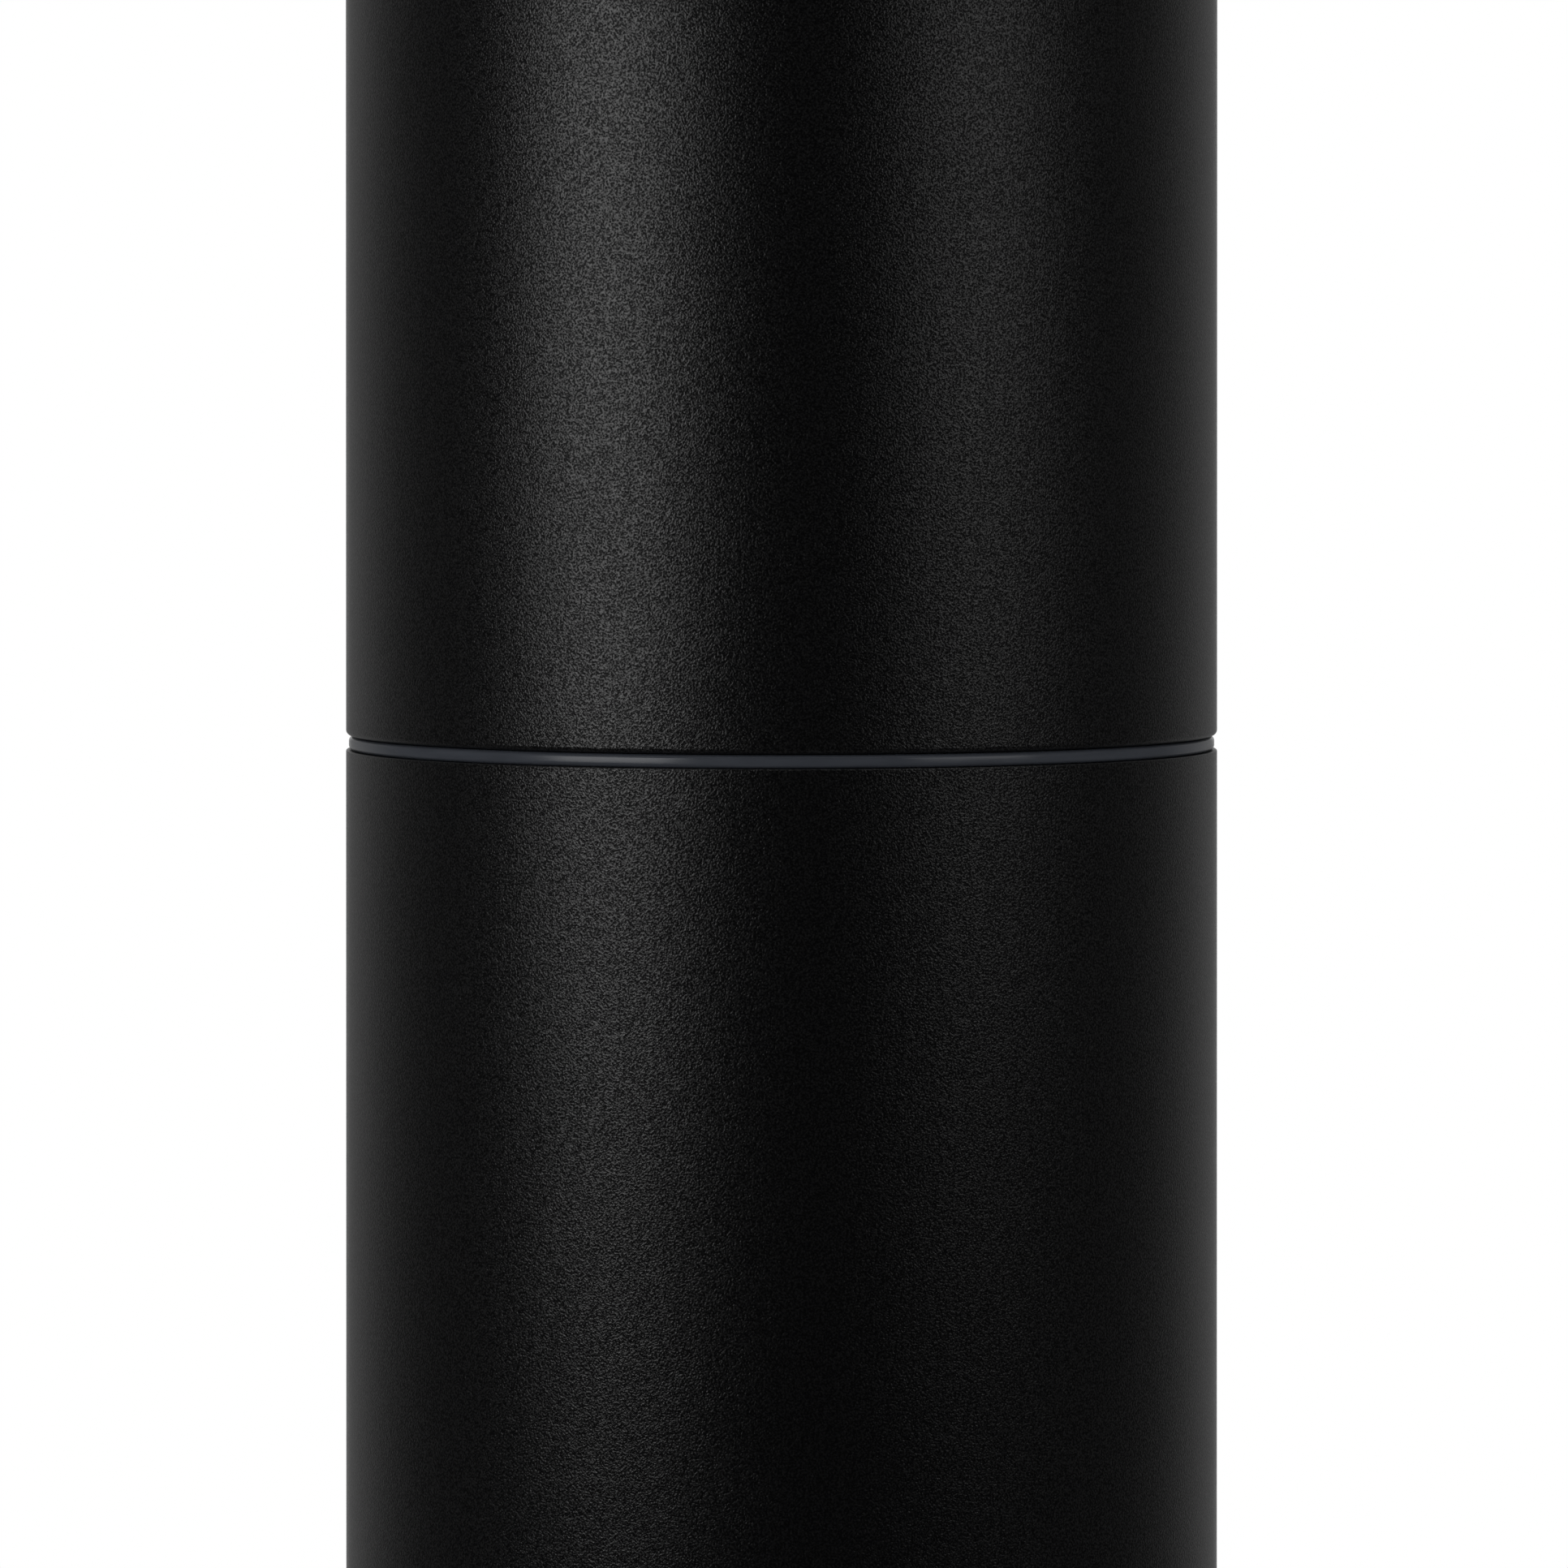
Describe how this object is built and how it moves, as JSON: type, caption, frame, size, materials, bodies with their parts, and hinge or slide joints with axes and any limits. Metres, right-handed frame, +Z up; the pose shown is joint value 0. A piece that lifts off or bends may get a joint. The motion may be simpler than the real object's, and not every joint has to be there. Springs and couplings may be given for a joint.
{
  "type": "pepper mill",
  "caption": "Straight cylindrical pepper mill: the upper half turns a ceramic burr in the foot, a knob underneath sets the grind, and the head lifts off to refill.",
  "frame": {"origin": "on the table, at the centre of the foot ring", "axes": "+Z up along the mill's axis, towards the head; X and Y level"},
  "size_m": [0.05, 0.05, 0.1708],
  "materials": {
    "black_powder_coat": "fine-texture matt powder coat",
    "slate_rubber": "moulded, satin",
    "black_rubber": "moulded, matt",
    "black_acetal": "moulded, fine spark texture",
    "white_glide_plastic": "skived sheet, waxy",
    "milky_polypropylene": "moulded, semi-gloss",
    "white_ceramic": "sintered, unglazed",
    "glass_filled_nylon": "moulded, dull",
    "drawn_aluminium": "drawn, fine lengthwise lines",
    "sintered_bronze": "sintered, dull",
    "zinc_plated_steel": "plated, satin",
    "stainless_steel": "stamped, tumbled",
    "spring_steel": "drawn wire and strip",
    "zinc_die_cast": "die cast, tumbled",
    "turned_brass": "turned"
  },
  "bodies": {
    "body": {"body_shell": "black_powder_coat", "seam_ring": "slate_rubber", "neck_ring": "black_acetal", "hopper": "milky_polypropylene", "grinder_housing": "black_acetal", "foot_ring": "black_rubber", "stator_burr": "white_ceramic", "bridge": "glass_filled_nylon", "bridge_screws": "zinc_plated_steel", "shaft_bush": "sintered_bronze"},
    "drive": {"drive_shaft": "drawn_aluminium", "thrust_washer": "stainless_steel", "spring_washer": "stainless_steel", "burr_spring": "spring_steel"},
    "head": {"head_shell": "black_powder_coat", "head_core": "black_acetal", "spigot_seal": "black_rubber", "glide_washer": "white_glide_plastic", "drive_socket": "zinc_die_cast", "shaft_clip": "spring_steel"},
    "rotor": {"rotor_burr": "white_ceramic", "rotor_hub": "black_acetal"},
    "adjuster": {"adjuster_knob": "black_acetal", "adjuster_nut": "turned_brass"}
  },
  "joints": [
    {"name": "head_turn", "type": "hinge", "parent": "body", "child": "drive", "pos_m": [0, 0, 0.085], "axis": [0, 0, 1], "continuous": true},
    {"name": "head_lift", "type": "slide", "parent": "drive", "child": "head", "axis": [0, 0, 1], "range_m": [0, 0.06]},
    {"name": "rotor_travel", "type": "slide", "parent": "drive", "child": "rotor", "axis": [0, 0, 1], "range_m": [0, 0.0012], "deforming": ["burr_spring"]},
    {"name": "grind_adjust", "type": "hinge", "parent": "rotor", "child": "adjuster", "pos_m": [0, 0, 0.005], "axis": [0, 0, 1], "range_deg": [0, 540]}
  ],
  "couplings": [
    {"joint": "grind_adjust", "follows": "rotor_travel", "rad_per_m": 7854}
  ]
}
